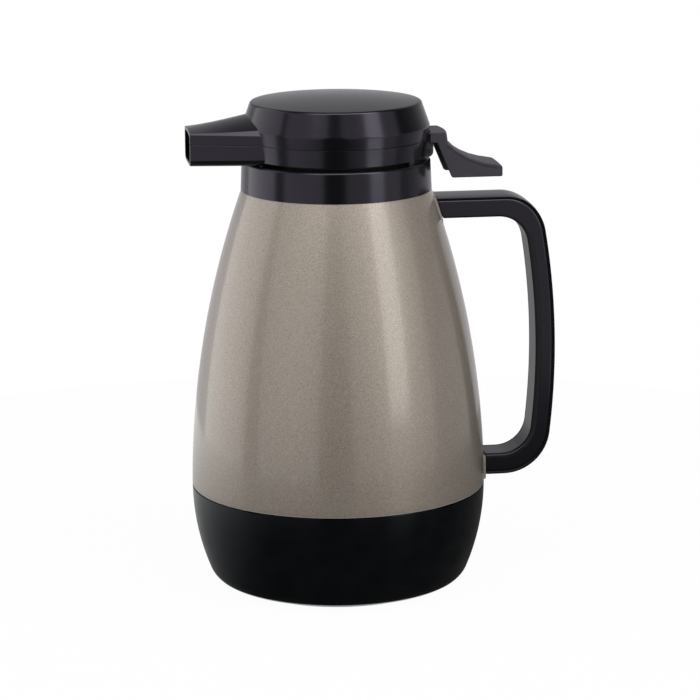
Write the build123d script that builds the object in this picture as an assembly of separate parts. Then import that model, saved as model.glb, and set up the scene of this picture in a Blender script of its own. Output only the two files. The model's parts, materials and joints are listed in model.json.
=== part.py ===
"""Push-lever vacuum carafe: glass flask in a plastic shell, black base, collar, handle and pouring stopper.

Millimetres, +Z up. The origin is on the carafe's axis, at the level it stands on. The spout points to -X
and the handle and the thumb lever to +X.
"""
from build123d import *
import os
from math import asin, atan2, cos, degrees, radians, sin, sqrt, tan

# ---- clearances ----
moving_gap = 0.3        # between pieces that move past each other
running_gap = 0.05      # radial, round shafts in their bores
seat_gap = 0.02         # radial, pieces pushed together for good
over = 1.0              # cuts run this far past the faces they open
core_x = 23.0           # side views of the handle and its pads start here, inside the shell

# ---- base cup ----
base_height = 50.0      # seam between the base cup and the shell
base_top_r = 72.0
base_bow_r = 105.0      # gentle curve of the cup's side
base_corner_r = 12.3    # rounding under the cup
base_wall = 2.4
base_lip_height = 3.0   # collar of the cup that stands inside the shell
base_lip_wall = 1.8
cap_hole_r = 22.0       # hole in the cup's floor, closed by the bottom cap
foot_stand = 1.4        # how far the foot ring stands below the cup
foot_outer_r = 51.8
foot_width = 6.0
foot_depth = 1.2        # how deep the foot ring sits in its groove
cap_flange = 3.0        # the bottom cap's rim beyond its hole, inside the cup
cap_thickness = 2.2
slot_length = 26.0      # coin slot in the bottom cap
slot_width = 2.4
slot_depth = 1.2
cushion_outer_r = 27.0  # rubber cushion under the flask
cushion_inner_r = 12.0
cushion_rise = 6.0      # how far it reaches up the flask's round end

# ---- shell ----
shell_step = 0.2        # the shell stands this proud of the base cup
shell_mid_in = 6.9      # the shell is this much slimmer at mid height
shell_mid_z = 123.0
shell_top_r = 46.2
shell_top_z = 196.4
shell_wall = 2.2

# ---- collar ----
collar_step = 0.2       # the collar stands this proud of the shell
collar_taper = 0.6
collar_height = 14.8
collar_edge_r = 1.2
collar_ledge = 3.0      # width of the ledge that holds the flask down
collar_spigot = 5.0     # how far the collar reaches down inside the shell
collar_spigot_wall = 2.2

# ---- vacuum flask ----
flask_clearance = 11.0  # between the flask and the base cup's rim
flask_stand = 9.0       # from the bottom cap up to the flask
flask_round = 47.0      # height of the flask's round bottom
flask_upper_in = 5.0    # the flask is this much slimmer above its belly
flask_upper_drop = 59.0 # below the neck
flask_shoulder_out = 12.0  # the shoulder is this much wider than the neck
flask_shoulder_drop = 19.0  # below the neck
neck_set_in = 13.2      # the glass neck inside the shell's top
neck_height = 9.5       # straight neck below the mouth
mouth_rise = 4.1        # the glass mouth above the shell
glass = 1.6
vacuum_gap = 2.8
neck_gasket_height = 5.0

# ---- handle ----
handle_width = 20.3
handle_drop = 4.15      # upper arm's top below the collar
handle_lift = 1.8       # lower arm's underside above the base cup
grip_out = 35.7         # the grip's furthest point beyond the shell's foot
handle_bow_z = 114.0    # height of the grip's furthest point
handle_bow_r = 360.0
handle_top_r = 30.0     # upper corner, first arc
handle_turn = 45.0      # degrees of the upper corner that the first arc takes
handle_knuckle_r = 16.5 # upper corner, second arc
handle_heel_r = 23.5    # lower corner
handle_crown = 3.2      # rounding of the outer edges
handle_depth = 9.8      # grip, front to back
handle_arm_top = 10.55   # upper arm's thickness
handle_arm_low = 9.9    # lower arm's thickness
handle_inner_r = 15.0   # corners of the finger opening
insert_thickness = 2.3
insert_margin = 3.0     # how far the insert's ends stay from the arms' inner faces
insert_tongue = 5.0     # height of the rib that holds the insert
insert_tongue_width = 12.0
pad_margin = 1.0        # the upper pad's top above its arm
pad_tail = 3.2          # the upper pad's foot below its arm
pad_head = 2.0          # the lower pad's top above its arm
pad_side_margin = 0.5
pad_top_proud = 1.7     # upper pad's face beyond the shell's top, at the arm's top
pad_top_slope = 17.5    # degrees that face leans back from upright
pad_low_proud = 0.7     # lower pad's face beyond the shell's foot
screw_r = 1.8
screw_head_r = 3.6
screw_head = 2.0
screw_reach = 12.0      # length of a handle screw inside its arm
screw_spread = 5.0      # handle screws stand this far either side of the middle
screw_lift = 1.0        # lower screws this far above their arm's middle
screw_seat_r = 4.0      # bosses inside the shell under the screws' heads
screw_seat_top = 5.2    # from the upper pad's face back to the boss's face
screw_seat_low = 4.2    # the same for the lower pad

# ---- stopper: lid ----
lid_gap = 2.04          # open gap between collar and lid
lid_set_in = 2.9        # the lid's foot is this much slimmer than the collar
lid_seam_rise = 8.26    # parting between lid base and lid cover, above the lid's foot
lid_seam_out = 0.9
lid_wide_rise = 14.36
lid_wide_out = 1.8
lid_rim_rise = 25.96
lid_rim_in = 2.2
lid_rim_edge = 1.6
dome_rise = 2.6
lid_wall = 2.0
lid_floor = 2.0
lip_height = 2.0        # ring on the base that centres the cover
lip_wall = 1.2

# ---- stopper: spout ----
spout_reach = 28.6      # the spout's tip beyond the lid's foot
tip_half_width = 12.0
tip_crest_rise = 14.46  # above the lid's foot
spout_root_in = 13.5    # the spout's root inside the lid's foot
spout_root_side = 13.7  # the root's side inside the lid's foot
root_crest_rise = 23.56 # above the lid's foot
spout_clearance = 0.7   # between the spout's root and the collar
spout_drop = 1.1        # the underside is this much lower at the tip than at the root
spout_ridge_rise = 13.06  # top of the upright sides, above the lid's foot
spout_corner_r = 3.4
tip_facet = 0.8         # bevel between side and roof, at the tip
root_facet = 5.2
facet_slope = 0.55      # rise of the bevels over their width
spout_wall = 1.5
ramp_length = 6.0       # the channel's floor starts to fall this far from the root

# ---- stopper: plug and valve ----
plug_clearance = 1.5    # radial, in the glass neck
plug_wall = 3.0
plug_depth = 25.6       # the plug's floor below the flange
plug_floor = 2.5
skirt_gap = 0.3         # radial, plain skirt in the collar's bore
skirt_wall = 2.5
flange_thickness = 2.4
gasket_thickness = 2.5
gasket_lap = 0.2        # the gasket reaches this far past the glass neck
outlet_step = 2.0       # the lid's floor laps the plug's wall by this much
port_r = 12.0           # valve port in the plug's floor
seat_width = 1.5
seat_height = 1.0
disc_margin = 2.0       # the disc reaches this far past its seat
disc_thickness = 2.5
stem_r = 2.5
barb_lap = 1.5          # how far the stem's foot stands out
barb_height = 1.5
stem_flange_r = 9.0
stem_flange = 1.5
guide_drop = 0.6        # the guide's underside below the flange's
guide_thickness = 2.4
guide_boss_wall = 2.5
guide_boss_drop = 2.0
guide_boss_rise = 4.0
guide_ledge = 1.2
flow_hole_r = 5.4
flow_hole_count = 5
flow_circle_r = 13.5
spring_r = 5.4
spring_wire_r = 0.45
spring_turns = 6
clip_wall = 2.7
clip_thickness = 2.0
stem_head = 1.3         # stem above the clip
lid_screw_out = 3.5     # screws stand this far outside the plug
lid_screw_count = 3
lid_screw_r = 1.4
lid_screw_head_r = 2.8
lid_screw_head = 1.8
lid_screw_length = 6.0
lid_screw_boss_r = 3.4

# ---- lever ----
pivot_in = 0.1          # the pin inside the lid's foot
pivot_rise = 1.46       # the pin above the lid's foot
pin_r = 1.5
bracket_r = 3.0         # rounded end of the bracket that carries the pin
bracket_half_width = 7.5
lug_thickness = 2.0
lug_r = 2.8
lever_half_width = 12.2
lever_wall = 1.6
lever_top_rise = 9.3    # this and the next heights are from the pin
lever_root_out = 2.2    # this and the next reaches are from the pin
hump_out = 8.9          # back of the raised top
hump_foot_rise = 4.2    # foot of the step behind it
hump_step = 1.0         # the step leans out by this much
slope_sag = 2.4         # hollow of the thumb slope below a straight line
tip_out = 36.6
tip_top_drop = 7.5
tip_bottom_drop = 12.9
heel_out = 12.8         # lower corner nearest the body
neck_bottom_rise = 4.3
arm_half_width = 5.0
arm_bottom_rise = 4.6
arm_top_rise = 6.9
prong_r = 1.5

# ---- values that follow from those above ----
neck_r = shell_top_r - neck_set_in
shell_bottom_r = base_top_r + shell_step
shell_mid_r = shell_bottom_r - shell_mid_in
collar_r = shell_top_r + collar_step
collar_top_r = collar_r - collar_taper
collar_top_z = shell_top_z + collar_height
flask_r = base_top_r - flask_clearance
flask_upper_r = flask_r - flask_upper_in
mouth_z = shell_top_z + mouth_rise
neck_z = mouth_z - neck_height
flask_upper_z = neck_z - flask_upper_drop
flask_shoulder_z = neck_z - flask_shoulder_drop
flask_shoulder_r = neck_r + flask_shoulder_out
collar_bore_r = neck_r + collar_ledge
gasket_r = neck_r + gasket_lap
flange_z = mouth_z + gasket_thickness + 2 * moving_gap
collar_ledge_z = flange_z - 2 * moving_gap
guide_z = flange_z - guide_drop
plug_bottom_z = flange_z - plug_depth
disc_r = port_r + seat_width + disc_margin
barb_r = stem_r + barb_lap
guide_boss_r = stem_r + guide_boss_wall
clip_r = stem_r + clip_wall
handle_top_z = shell_top_z - handle_drop
handle_bottom_z = base_height + handle_lift
handle_reach = shell_bottom_r + grip_out
pad_top_x = shell_top_r + pad_top_proud
pad_low_x = shell_bottom_r + pad_low_proud
lid_bottom_z = collar_top_z + lid_gap
lid_bottom_r = collar_r - lid_set_in
lid_seam_z = lid_bottom_z + lid_seam_rise
lid_seam_r = lid_bottom_r + lid_seam_out
lid_wide_z = lid_bottom_z + lid_wide_rise
lid_wide_r = lid_bottom_r + lid_wide_out
lid_rim_z = lid_bottom_z + lid_rim_rise
lid_rim_r = lid_bottom_r - lid_rim_in
lid_top_z = lid_rim_z + dome_rise
tip_x = -lid_bottom_r - spout_reach
root_x = spout_root_in - lid_bottom_r
root_half_width = lid_bottom_r - spout_root_side
tip_crest_z = lid_bottom_z + tip_crest_rise
root_crest_z = lid_bottom_z + root_crest_rise
spout_ridge_z = lid_bottom_z + spout_ridge_rise
spout_bottom_z = collar_top_z + spout_clearance
ramp_x = root_x - ramp_length
pivot_x = lid_bottom_r - pivot_in
pivot_z = lid_bottom_z + pivot_rise
lever_top_z = pivot_z + lever_top_rise
lever_root_x = pivot_x + lever_root_out
hump_x = pivot_x + hump_out
hump_drop_z = pivot_z + hump_foot_rise
tip_reach = pivot_x + tip_out
tip_top_z = pivot_z - tip_top_drop
tip_bottom_z = pivot_z - tip_bottom_drop
heel_x = pivot_x + heel_out
neck_bottom_z = pivot_z + neck_bottom_rise
arm_bottom_z = pivot_z + arm_bottom_rise
arm_top_z = pivot_z + arm_top_rise
shell_inner_top_r = shell_top_r - shell_wall
neck_bore_r = neck_r - 2 * glass - vacuum_gap
plug_r = neck_bore_r - plug_clearance
lid_screw_circle_r = plug_r + lid_screw_out
skirt_r = collar_bore_r - skirt_gap
plug_bore_r = plug_r - plug_wall
outlet_r = plug_bore_r - outlet_step
lid_floor_z = lid_bottom_z + lid_floor
gasket_top_z = flange_z - moving_gap
cup_floor_z = foot_stand + base_wall
flask_bottom_z = cup_floor_z + cap_thickness + flask_stand
flask_belly_z = flask_bottom_z + flask_round
prong_z = arm_top_z - prong_r
clip_z = prong_z + prong_r + moving_gap
lug_inner_y = bracket_half_width + moving_gap
lug_outer_y = lug_inner_y + lug_thickness
bow_centre_x = handle_reach - handle_bow_r
lid_zone_r = abs(tip_x) + tip_half_width
seat_top_z = plug_bottom_z + plug_floor + seat_height
disc_z = seat_top_z + moving_gap


# ---- shared construction ----
def turned(outline):
    """A solid of revolution about Z from a closed outline of (radius, height)."""
    return revolve(Plane.XZ * make_face(outline), Axis.Z)


def ring(inner_r, outer_r, low_z, high_z):
    """A plain ring, or a disc where the inner radius is zero."""
    height = high_z - low_z
    solid = Cylinder(outer_r, height)
    if inner_r > 0:
        solid -= Cylinder(inner_r, height + 2 * over)
    return Pos(0, 0, low_z + height / 2) * solid


def block(low_x, high_x, half_width, low_z, high_z):
    """A box that is centred across Y."""
    middle = Pos((low_x + high_x) / 2, 0, (low_z + high_z) / 2)
    return middle * Box(high_x - low_x, 2 * half_width, high_z - low_z)


def slab(outline, half_width):
    """An outline of (x, z) extruded both ways across Y."""
    return extrude(Plane.XZ * make_face(outline), amount=half_width, both=True)


def rod_y(x, z, radius, half_length):
    """A round bar across Y."""
    return Pos(x, 0, z) * Rot(90, 0, 0) * Cylinder(radius, 2 * half_length)


# ---- base ----
def cup_form(inset, high_z):
    """The cup's turned outer form, moved inwards by the inset: flat floor, round corner, bowed side."""
    bow_x = base_top_r - base_bow_r
    reach = base_bow_r - base_corner_r
    corner_z = foot_stand + base_corner_r
    swing = degrees(asin((base_height - corner_z) / reach))
    corner_x = bow_x + reach * cos(radians(swing))
    bow = CenterArc((bow_x, base_height), base_bow_r - inset, -swing, swing)
    turn = CenterArc((corner_x, corner_z), base_corner_r - inset, -90, 90 - swing)
    outline = Line((0, foot_stand + inset), turn @ 0) + turn + bow
    outline += Polyline(bow @ 1, (base_top_r - inset, high_z), (0, high_z), (0, foot_stand + inset))
    return turned(outline)


def base_cup():
    cup = cup_form(0, base_height) - cup_form(base_wall, base_height + over)
    lip_r = base_top_r - base_wall + seat_gap
    lip = ring(lip_r - base_lip_wall, lip_r, base_height - base_lip_height, base_height + base_lip_height)
    lip &= shell_inside(moving_gap)
    groove = ring(foot_outer_r - foot_width - seat_gap, foot_outer_r + seat_gap, 0, foot_stand + foot_depth)
    return cup + lip - groove - ring(0, cap_hole_r, 0, base_height)


def foot_ring():
    return ring(foot_outer_r - foot_width, foot_outer_r, 0, foot_stand + foot_depth)


def bottom_cap():
    body = ring(0, cap_hole_r - seat_gap, foot_stand, cup_floor_z)
    body += ring(0, cap_hole_r + cap_flange, cup_floor_z, cup_floor_z + cap_thickness)
    return body - block(-slot_length / 2, slot_length / 2, slot_width / 2, 0, foot_stand + slot_depth)


def liner_cushion():
    """Rubber seat between the bottom cap and the round end of the flask."""
    low_z = cup_floor_z + cap_thickness
    return ring(cushion_inner_r, cushion_outer_r, low_z, flask_bottom_z + cushion_rise) - flask_form(0)


# ---- vacuum flask ----
def flask_form(inset):
    """The flask's outer form, moved inwards by the inset and open upwards at the mouth."""
    belly = (flask_r - inset, flask_belly_z)
    neck = (neck_r - inset, neck_z)
    depth = flask_belly_z - flask_bottom_z - inset
    bottom = EllipticalCenterArc((0, flask_belly_z), flask_r - inset, depth, start_angle=270, arc_size=90)
    side = Spline(
        belly,
        (flask_upper_r - inset, flask_upper_z),
        (flask_shoulder_r - inset, flask_shoulder_z),
        neck,
        tangents=((0, 1), (0, 1)),
    )
    outline = bottom + side + Polyline(neck, (neck_r - inset, mouth_z), (0, mouth_z), bottom @ 0)
    return turned(outline)


def flask_outer_wall():
    wall = flask_form(0) - flask_form(glass)
    return wall + ring(neck_r - glass - vacuum_gap / 2, neck_r, mouth_z - glass, mouth_z)


def flask_inner_wall():
    inset = glass + vacuum_gap
    wall = flask_form(inset) - flask_form(inset + glass)
    return wall + ring(neck_bore_r, neck_r - glass - vacuum_gap / 2, mouth_z - glass, mouth_z)


# ---- shell and collar ----
def shell_side(inset):
    """The shell's bowed side in section, moved inwards by the inset."""
    foot = (shell_bottom_r - inset, base_height)
    middle = (shell_mid_r - inset, shell_mid_z)
    return ThreePointArc(foot, middle, (shell_top_r - inset, shell_top_z))


def shell_inside(margin):
    """Everything inside the shell's wall, less a margin, from below the seam to above the collar."""
    inset = shell_wall + margin
    side = shell_side(inset)
    low_z = base_height - base_lip_height
    foot = (shell_bottom_r - inset, low_z)
    return turned(side + Polyline(side @ 1, (0, shell_top_z), (0, low_z), foot, side @ 0))


def shell_outside():
    side = shell_side(0)
    return turned(side + Polyline(side @ 1, (0, shell_top_z), (0, base_height), side @ 0))


def upper_pad(half_width):
    """Flat seat for the handle's upper arm, leaning with the shell."""
    high_z = handle_top_z + pad_margin
    low_z = handle_top_z - handle_arm_top - pad_tail
    lean = tan(radians(pad_top_slope))
    face_high = pad_top_x - (high_z - handle_top_z) * lean
    face_low = pad_top_x + (handle_top_z - low_z) * lean
    side = Polyline((core_x, low_z), (face_low, low_z), (face_high, high_z), (core_x, high_z), close=True)
    return slab(side, half_width)


def lower_pad(half_width):
    high_z = handle_bottom_z + handle_arm_low + pad_head
    return block(core_x, pad_low_x, half_width, base_height + moving_gap, high_z)


def handle_pads():
    half_width = handle_width / 2 + pad_side_margin
    return upper_pad(half_width) + lower_pad(half_width)


def screw_holes(radius):
    """Bars where the four handle screws pass through the shell."""
    bars = []
    for side in (-screw_spread, screw_spread):
        for x, z in handle_screw_places():
            bars.append(Pos(x, side, z) * Rot(0, 90, 0) * Cylinder(radius, 2 * screw_reach))
    return bars


def handle_screw_places():
    """Where each arm's screws cross the pads' faces, as (x, z)."""
    upper_z = handle_top_z - handle_arm_top / 2
    upper_x = pad_top_x + (handle_top_z - upper_z) * tan(radians(pad_top_slope))
    return (upper_x, upper_z), (pad_low_x, handle_bottom_z + handle_arm_low / 2 + screw_lift)


def screw_seats():
    """Round bosses inside the shell that the screws' heads bear on."""
    seats = []
    for side in (-screw_spread, screw_spread):
        for (x, z), back in zip(handle_screw_places(), (screw_seat_top, screw_seat_low)):
            seats.append(Pos(x - back, side, z) * Rot(0, 90, 0) * ring(0, screw_seat_r, 0, back))
    return seats


def body_shell():
    filled = shell_outside() + handle_pads()
    shell = filled - shell_inside(0)
    shell -= ring(0, shell_inner_top_r, shell_top_z - over, shell_top_z + over)
    for seat in screw_seats():
        shell += seat & filled
    for hole in screw_holes(screw_r + seat_gap):
        shell -= hole
    return shell


def neck_collar():
    """Black ring on top of the shell; its spigot stands in the shell and its ledge holds the flask down."""
    low_z = shell_top_z - collar_spigot
    spigot_r = shell_inner_top_r - seat_gap
    side = Line((collar_r, shell_top_z), (collar_top_r, collar_top_z))
    collar = turned(side + Polyline(side @ 1, (0, collar_top_z), (0, shell_top_z), side @ 0))
    rim = collar.edges().filter_by(GeomType.CIRCLE).sort_by(Axis.Z)[-1]
    collar = fillet(rim, collar_edge_r)
    collar += ring(0, spigot_r, low_z, shell_top_z)
    collar -= ring(0, collar_bore_r, collar_ledge_z, collar_top_z + over)
    collar -= ring(0, neck_r + moving_gap, low_z - over, collar_top_z)
    return collar - ring(0, spigot_r - collar_spigot_wall, low_z - over, mouth_z - collar_edge_r)


def neck_gasket():
    top_z = mouth_z - collar_edge_r
    outer_r = shell_inner_top_r - seat_gap - collar_spigot_wall
    return ring(neck_r + seat_gap, outer_r - seat_gap, top_z - neck_gasket_height, top_z)


# ---- handle ----
def bow_tangent(offset, corner_r, z):
    """X of the centre of a corner arc, at height z, that runs smoothly into the grip's bow."""
    reach = handle_bow_r - offset - corner_r
    return bow_centre_x + sqrt(reach**2 - (z - handle_bow_z) ** 2)


def direction(from_point, to_point):
    """Angle of the line between two points, in degrees."""
    return degrees(atan2(to_point[1] - from_point[1], to_point[0] - from_point[0]))


def handle_outside():
    """Side view of the handle as if it were filled, from inside the shell to the grip's outer bow."""
    centre = (bow_centre_x, handle_bow_z)
    heel = (bow_tangent(0, handle_heel_r, handle_bottom_z + handle_heel_r), handle_bottom_z + handle_heel_r)
    shift = handle_top_r - handle_knuckle_r
    knuckle_z = handle_top_z - handle_top_r + shift * sin(radians(handle_turn))
    knuckle = (bow_tangent(0, handle_knuckle_r, knuckle_z), knuckle_z)
    crown = (knuckle[0] - shift * cos(radians(handle_turn)), handle_top_z - handle_top_r)
    low = direction(centre, heel)
    high = direction(centre, knuckle)
    heel_arc = CenterArc(heel, handle_heel_r, -90, 90 + low)
    bow = CenterArc(centre, handle_bow_r, low, high - low)
    knuckle_arc = CenterArc(knuckle, handle_knuckle_r, high, handle_turn - high)
    crown_arc = CenterArc(crown, handle_top_r, handle_turn, 90 - handle_turn)
    outline = heel_arc + bow + knuckle_arc + crown_arc
    outline += Polyline(crown_arc @ 1, (core_x, handle_top_z), (core_x, handle_bottom_z), heel_arc @ 0)
    return outline


def handle_inside(inset):
    """Side view of the finger opening, grown by the inset."""
    centre = (bow_centre_x, handle_bow_z)
    radius = handle_inner_r + inset
    low_z = handle_bottom_z + handle_arm_low + handle_inner_r
    high_z = handle_top_z - handle_arm_top - handle_inner_r
    offset = handle_depth - inset
    foot = (bow_tangent(offset, radius, low_z), low_z)
    head = (bow_tangent(offset, radius, high_z), high_z)
    low = direction(centre, foot)
    high = direction(centre, head)
    inner_x = core_x - over
    foot_arc = CenterArc(foot, radius, -90, 90 + low)
    bow = CenterArc(centre, handle_bow_r - offset, low, high - low)
    head_arc = CenterArc(head, radius, high, 90 - high)
    outline = foot_arc + bow + head_arc
    outline += Polyline(head_arc @ 1, (inner_x, high_z + radius), (inner_x, low_z - radius), foot_arc @ 0)
    return outline


def insert_zone(margin, half_width):
    """Where the grip's inner strip runs, between the two arms."""
    low_z = handle_bottom_z + handle_arm_low + insert_margin - margin
    high_z = handle_top_z - handle_arm_top - insert_margin + margin
    return block(core_x, handle_reach, half_width, low_z, high_z)


def handle_insert():
    half_width = handle_width / 2
    strip = slab(handle_inside(insert_thickness), half_width) & insert_zone(0, half_width)
    tongue = slab(handle_inside(insert_tongue), insert_tongue_width / 2)
    tongue &= insert_zone(-insert_margin, insert_tongue_width / 2)
    return strip + tongue - slab(handle_inside(0), handle_width)


def handle_body():
    half_width = handle_width / 2
    solid = slab(handle_outside(), half_width)
    rims = solid.edges().filter_by(lambda edge: abs(abs(edge.center().Y) - half_width) < seat_gap)
    rims = rims.filter_by(lambda edge: edge.center().X > core_x + over)
    solid = fillet(rims, handle_crown)
    solid -= slab(handle_inside(0), handle_width)
    solid -= shell_outside() + handle_pads()
    solid -= ring(0, shell_top_r, handle_bottom_z - over, handle_top_z + over)
    solid -= slab(handle_inside(insert_thickness), handle_width) & insert_zone(seat_gap, handle_width)
    groove = slab(handle_inside(insert_tongue + seat_gap), insert_tongue_width / 2 + seat_gap)
    solid -= groove & insert_zone(-insert_margin + seat_gap, half_width)
    for hole in screw_holes(screw_r):
        solid -= hole
    return solid


def handle_screws():
    """Four screws put in from inside the shell, two into each arm."""
    screws = []
    for side in (-screw_spread, screw_spread):
        for (x, z), back in zip(handle_screw_places(), (screw_seat_top, screw_seat_low)):
            screw = ring(0, screw_r, 0, screw_reach + back) + ring(0, screw_head_r, -screw_head, 0)
            screws.append(Pos(x - back, side, z) * Rot(0, 90, 0) * screw)
    return Compound(children=screws)


# ---- lid ----
def lid_form(inset):
    """The lid's turned form without its spout, moved inwards by the inset."""
    rim = (lid_rim_r - inset, lid_rim_z - inset)
    top_z = lid_top_z - inset
    rise = top_z - rim[1]
    dome_r = (rim[0] ** 2 + rise**2) / (2 * rise)
    spread = degrees(asin(rim[0] / dome_r))
    dome = CenterArc((0, top_z - dome_r), dome_r, 90 - spread, spread)
    side = Polyline(
        (0, lid_bottom_z), (lid_bottom_r - inset, lid_bottom_z), (lid_seam_r - inset, lid_seam_z),
        (lid_wide_r - inset, lid_wide_z), rim,
    )
    section = make_face(side + dome + Line((0, top_z), (0, lid_bottom_z)))
    corner = section.vertices().filter_by(lambda vertex: abs(vertex.X - rim[0]) < seat_gap)
    return revolve(Plane.XZ * fillet(corner, lid_rim_edge), Axis.Z)


def spout_section(x, inset, bottom_z):
    """The spout's cross-section at x: flat bottom, upright sides, bevels and an arched roof."""
    share = (x - tip_x) / (root_x - tip_x)
    half = tip_half_width + share * (root_half_width - tip_half_width) - inset
    crest = tip_crest_z + share * (root_crest_z - tip_crest_z) - inset
    facet = tip_facet + share * (root_facet - tip_facet)
    ridge = spout_ridge_z - inset
    corner = spout_corner_r - inset
    slack = corner * (1 - sin(radians(45)))
    eave = (half - facet, ridge + facet * facet_slope)
    right_end = (half, bottom_z + corner)
    left_end = (-half, bottom_z + corner)
    floor = Line((-half + corner, bottom_z), (half - corner, bottom_z))
    right = ThreePointArc(floor @ 1, (half - slack, bottom_z + slack), right_end)
    left = ThreePointArc(left_end, (-half + slack, bottom_z + slack), floor @ 0)
    up = Polyline(right_end, (half, ridge), eave)
    roof = ThreePointArc(eave, (0, crest), (-eave[0], eave[1]))
    down = Polyline(roof @ 1, (-half, ridge), left_end)
    outline = floor + right + up + roof + down + left
    return Plane(origin=(x, 0, 0), x_dir=(0, 1, 0), z_dir=(1, 0, 0)) * make_face(outline)


def spout_outside():
    tip = spout_section(tip_x, 0, spout_bottom_z - spout_drop)
    root = spout_section(root_x, 0, spout_bottom_z)
    return loft([tip, root], ruled=True)


def spout_channel():
    """The way out: level at the tip, with a floor that falls from the lid's own floor."""
    mouth = spout_section(tip_x - over, spout_wall, spout_bottom_z - spout_drop + spout_wall)
    root = spout_section(ramp_x, spout_wall, lid_floor_z)
    return loft([mouth, root], ruled=True)


def lid_outside():
    under = ring(0, lid_bottom_r - lid_wall, spout_bottom_z - over, lid_bottom_z)
    return lid_form(0) + (spout_outside() - under)


def lid_hollow():
    return (lid_form(lid_wall) & ring(0, lid_wide_r, lid_floor_z, lid_top_z)) + spout_channel()


def rear_opening():
    """Slot in the lid's back for the lever's arm, and the slots for its two lugs."""
    reach = lid_wide_r + lid_wall
    inner_x = lid_bottom_r - 2 * lid_wall - lug_thickness
    opening = block(inner_x, reach, lug_outer_y + moving_gap, arm_bottom_z - lid_wall, lid_wide_z - lid_wall)
    lugs = block(inner_x, reach, lug_outer_y + moving_gap, lid_bottom_z - lid_floor, arm_bottom_z)
    lugs -= block(inner_x, reach, lug_inner_y - moving_gap, lid_bottom_z - lid_floor, arm_bottom_z)
    return opening + lugs


def lever_bracket():
    """Block behind the lid's wall with the bore for the lever's pin."""
    inner_x = lid_bottom_r - 2 * lid_wall
    base = block(inner_x, pivot_x, bracket_half_width, pivot_z - bracket_r, pivot_z + bracket_r)
    return base + rod_y(pivot_x, pivot_z, bracket_r, bracket_half_width)


def lid_base():
    solid = lid_outside() & ring(0, lid_zone_r, spout_bottom_z - spout_drop, lid_seam_z)
    seat_r = lid_seam_r - lid_wall
    solid += ring(seat_r - lip_wall, seat_r, lid_floor_z, lid_seam_z + lip_height)
    solid -= (lid_form(lid_wall) & ring(0, seat_r - lip_wall, lid_floor_z, lid_top_z)) + spout_channel()
    solid -= rear_opening()
    solid += lever_bracket()
    solid -= ring(0, outlet_r, lid_bottom_z - over, lid_floor_z + over)
    solid -= rod_y(pivot_x, pivot_z, pin_r + seat_gap, lever_half_width)
    for x, y in lid_screw_places():
        solid -= Pos(x, y, 0) * ring(0, lid_screw_r + seat_gap, lid_bottom_z - over, lid_floor_z + over)
    return solid


def lid_cover():
    solid = lid_outside() & ring(0, lid_zone_r, lid_seam_z, lid_top_z + over)
    return solid - lid_hollow() - rear_opening()


# ---- plug and valve ----
def lid_screw_places():
    """Centres of the screws that hold the plug under the lid."""
    step = radians(360 / lid_screw_count)
    angles = [step / 2 + step * number for number in range(lid_screw_count)]
    return [(lid_screw_circle_r * cos(angle), lid_screw_circle_r * sin(angle)) for angle in angles]


def stopper_plug():
    """Tube that closes the flask's mouth, with the flange and plain skirt that turn in the collar."""
    plug = ring(plug_bore_r, plug_r, plug_bottom_z, lid_bottom_z)
    plug += ring(port_r, plug_r, plug_bottom_z, plug_bottom_z + plug_floor)
    plug += ring(port_r, port_r + seat_width, plug_bottom_z, seat_top_z)
    plug += ring(plug_r - plug_wall / 2, skirt_r, flange_z, flange_z + flange_thickness)
    plug += ring(skirt_r - skirt_wall, skirt_r, flange_z, lid_bottom_z)
    plug += ring(plug_bore_r - guide_ledge, plug_bore_r + guide_ledge, guide_z - guide_ledge * 2, guide_z)
    for x, y in lid_screw_places():
        boss = ring(lid_screw_r, lid_screw_boss_r, flange_z + flange_thickness / 2, lid_bottom_z)
        plug += Pos(x, y, 0) * boss
    return plug


def stopper_gasket():
    return ring(plug_r + running_gap, gasket_r, gasket_top_z - gasket_thickness, gasket_top_z)


def lid_screws():
    screws = []
    for x, y in lid_screw_places():
        shank = ring(0, lid_screw_r - seat_gap, lid_floor_z - lid_screw_length, lid_floor_z)
        head = ring(0, lid_screw_head_r, lid_floor_z, lid_floor_z + lid_screw_head)
        screws.append(Pos(x, y, 0) * (shank + head))
    return Compound(children=screws)


def stem_guide():
    """Plate with flow holes across the plug; its boss keeps the valve stem upright."""
    plate = ring(0, plug_bore_r - seat_gap, guide_z, guide_z + guide_thickness)
    boss_low_z = guide_z - guide_boss_drop
    boss_high_z = guide_z + guide_thickness + guide_boss_rise
    plate += ring(0, guide_boss_r, boss_low_z, boss_high_z)
    for hole in PolarLocations(flow_circle_r, flow_hole_count):
        plate -= hole * ring(0, flow_hole_r, guide_z - over, guide_z + guide_thickness + over)
    return plate - ring(0, stem_r + running_gap, boss_low_z - over, boss_high_z + over)


def valve_disc():
    return ring(stem_r, disc_r, disc_z, disc_z + disc_thickness)


def valve_stem():
    stem = ring(0, stem_r, disc_z - barb_height, clip_z + clip_thickness + stem_head)
    stem += ring(0, barb_r, disc_z - barb_height, disc_z)
    return stem + ring(0, stem_flange_r, disc_z + disc_thickness, disc_z + disc_thickness + stem_flange)


def stem_clip():
    return ring(stem_r, clip_r, clip_z, clip_z + clip_thickness)


def valve_spring():
    """Compression spring between the stem's flange and the guide's boss."""
    low_z = disc_z + disc_thickness + stem_flange + spring_wire_r
    high_z = guide_z - guide_boss_drop - spring_wire_r
    path = Helix(pitch=(high_z - low_z) / spring_turns, height=high_z - low_z, radius=spring_r)
    path = Pos(0, 0, low_z) * path
    section = Plane(origin=path @ 0, z_dir=path % 0) * Circle(spring_wire_r)
    return sweep(section, path=path, is_frenet=True)


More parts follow.
